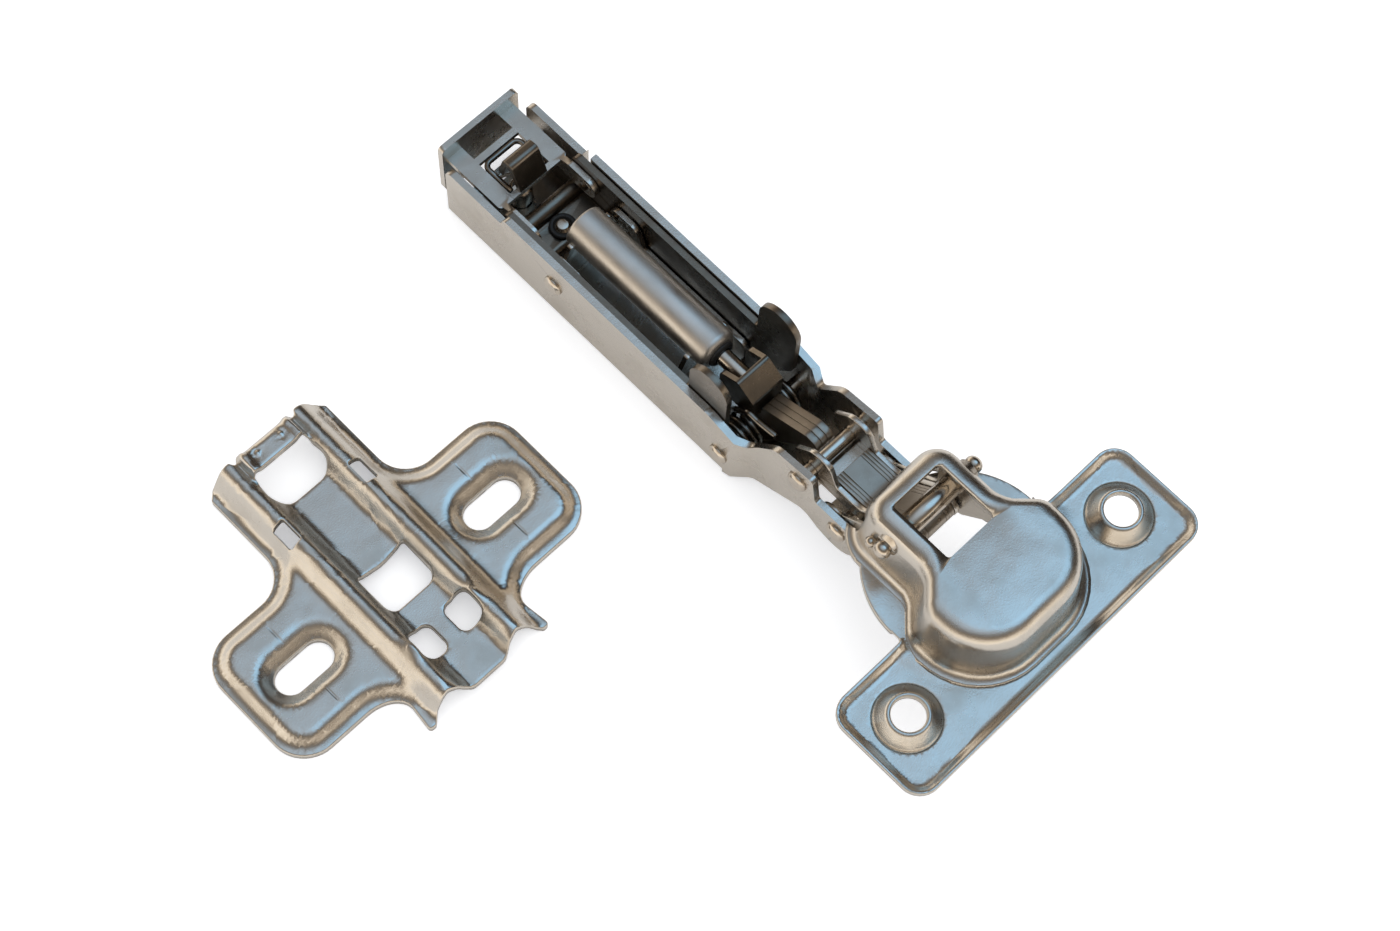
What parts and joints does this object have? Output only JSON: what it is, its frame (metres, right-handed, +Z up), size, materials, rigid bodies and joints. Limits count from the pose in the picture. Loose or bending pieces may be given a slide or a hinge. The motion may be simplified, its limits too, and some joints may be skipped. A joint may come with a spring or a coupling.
{
  "type": "concealed cup hinge",
  "caption": "Concealed cup hinge for cabinet doors, shown open, with folded arm, crossing links, damper, adjusting screws, and its clip-on mounting plate beside it.",
  "frame": {"origin": "centre of the whole part's footprint, on the surface that the arm's back and the plate lie on", "axes": "+X from the release lever to the cup, +Y along the cup flange's wings, +Z up from the surface"},
  "size_m": [0.1054, 0.0996, 0.025],
  "materials": {
    "nickel_plated_sheet": "satin nickel plate on stamped steel",
    "nickel_plated_pin": "nickel plate on turned steel",
    "damper_can_steel": "drawn steel can",
    "link_plate_steel": "bare punched steel plates",
    "spring_wire": "oiled spring wire",
    "screw_steel": "nickel-plated screw steel",
    "black_ring": "matt black"
  },
  "bodies": {
    "arm": {"outer_arm": "nickel_plated_sheet", "damper_cradle": "nickel_plated_sheet", "damper_rivets": "nickel_plated_pin", "damper_cylinder": "damper_can_steel", "rod_seal": "black_ring", "rocker_pin": "nickel_plated_pin", "inner_link_pin": "nickel_plated_pin", "outer_link_pin": "nickel_plated_pin", "closing_spring": "spring_wire", "mounting_plate": "nickel_plated_sheet"},
    "carriage": {"carriage": "nickel_plated_sheet", "screw_saddle": "nickel_plated_sheet", "lever_pins": "nickel_plated_pin"},
    "depth_screw": {"depth_screw": "screw_steel"},
    "side_screw": {"side_screw": "screw_steel", "screw_ring": "black_ring"},
    "release_lever": {"release_lever": "nickel_plated_sheet", "catch_hook": "nickel_plated_sheet", "catch_spring": "spring_wire"},
    "damper_rod": {"damper_rod": "link_plate_steel", "pusher_bracket": "nickel_plated_sheet"},
    "rocker": {"rocker_plates": "link_plate_steel"},
    "inner_link": {"inner_link_saddle": "nickel_plated_sheet", "inner_link_plates": "link_plate_steel", "inner_link_core": "nickel_plated_sheet"},
    "outer_link": {"outer_link": "nickel_plated_sheet"},
    "cup": {"cup": "nickel_plated_sheet", "window_pin": "nickel_plated_pin", "rear_cup_pin": "nickel_plated_pin"}
  },
  "joints": [
    {"name": "outer_link_pivot", "type": "hinge", "parent": "arm", "child": "outer_link", "pos_m": [0.0202, 0.02405, 0.00972], "axis": [0, 1, 0], "range_deg": [0, 26]},
    {"name": "door_fold", "type": "hinge", "parent": "outer_link", "child": "cup", "pos_m": [0.02837, 0.02405, 0.02233], "axis": [0, 1, 0], "range_deg": [0, 64.3]},
    {"name": "inner_link_pivot", "type": "hinge", "parent": "arm", "child": "inner_link", "pos_m": [0.01306, 0.02405, 0.01393], "axis": [0, 1, 0], "range_deg": [0, 7]},
    {"name": "rocker_pivot", "type": "hinge", "parent": "arm", "child": "rocker", "pos_m": [0.00105, 0.02405, 0.0045], "axis": [0, 1, 0], "range_deg": [-8, 0]},
    {"name": "damper_stroke", "type": "slide", "parent": "arm", "child": "damper_rod", "axis": [1, 0, 0], "range_m": [-0.0008, 0]},
    {"name": "depth_slide", "type": "slide", "parent": "arm", "child": "carriage", "axis": [1, 0, 0], "range_m": [-0.002, 0.0002]},
    {"name": "depth_turn", "type": "hinge", "parent": "carriage", "child": "depth_screw", "pos_m": [-0.04435, 0.02405, 0.002], "axis": [0, 0, 1], "range_deg": [-305, 35]},
    {"name": "side_turn", "type": "hinge", "parent": "carriage", "child": "side_screw", "pos_m": [-0.03615, 0.02405, 0.002], "axis": [0, 0, 1], "range_deg": [-180, 180]},
    {"name": "lever_press", "type": "hinge", "parent": "carriage", "child": "release_lever", "pos_m": [-0.03675, 0.02405, 0.0094], "axis": [0, -1, 0], "range_deg": [0, 5], "stiffness_Nm_per_rad": 0.4, "springref_deg": -2.86}
  ],
  "couplings": [
    {"joint": "outer_link_pivot", "follows": "door_fold", "ratio": 0.4},
    {"joint": "inner_link_pivot", "follows": "door_fold", "ratio": 0.104},
    {"joint": "rocker_pivot", "follows": "door_fold", "ratio": -0.11},
    {"joint": "damper_stroke", "follows": "door_fold", "m_per_rad": -0.000624},
    {"joint": "depth_turn", "follows": "depth_slide", "rad_per_m": 2617.8}
  ]
}
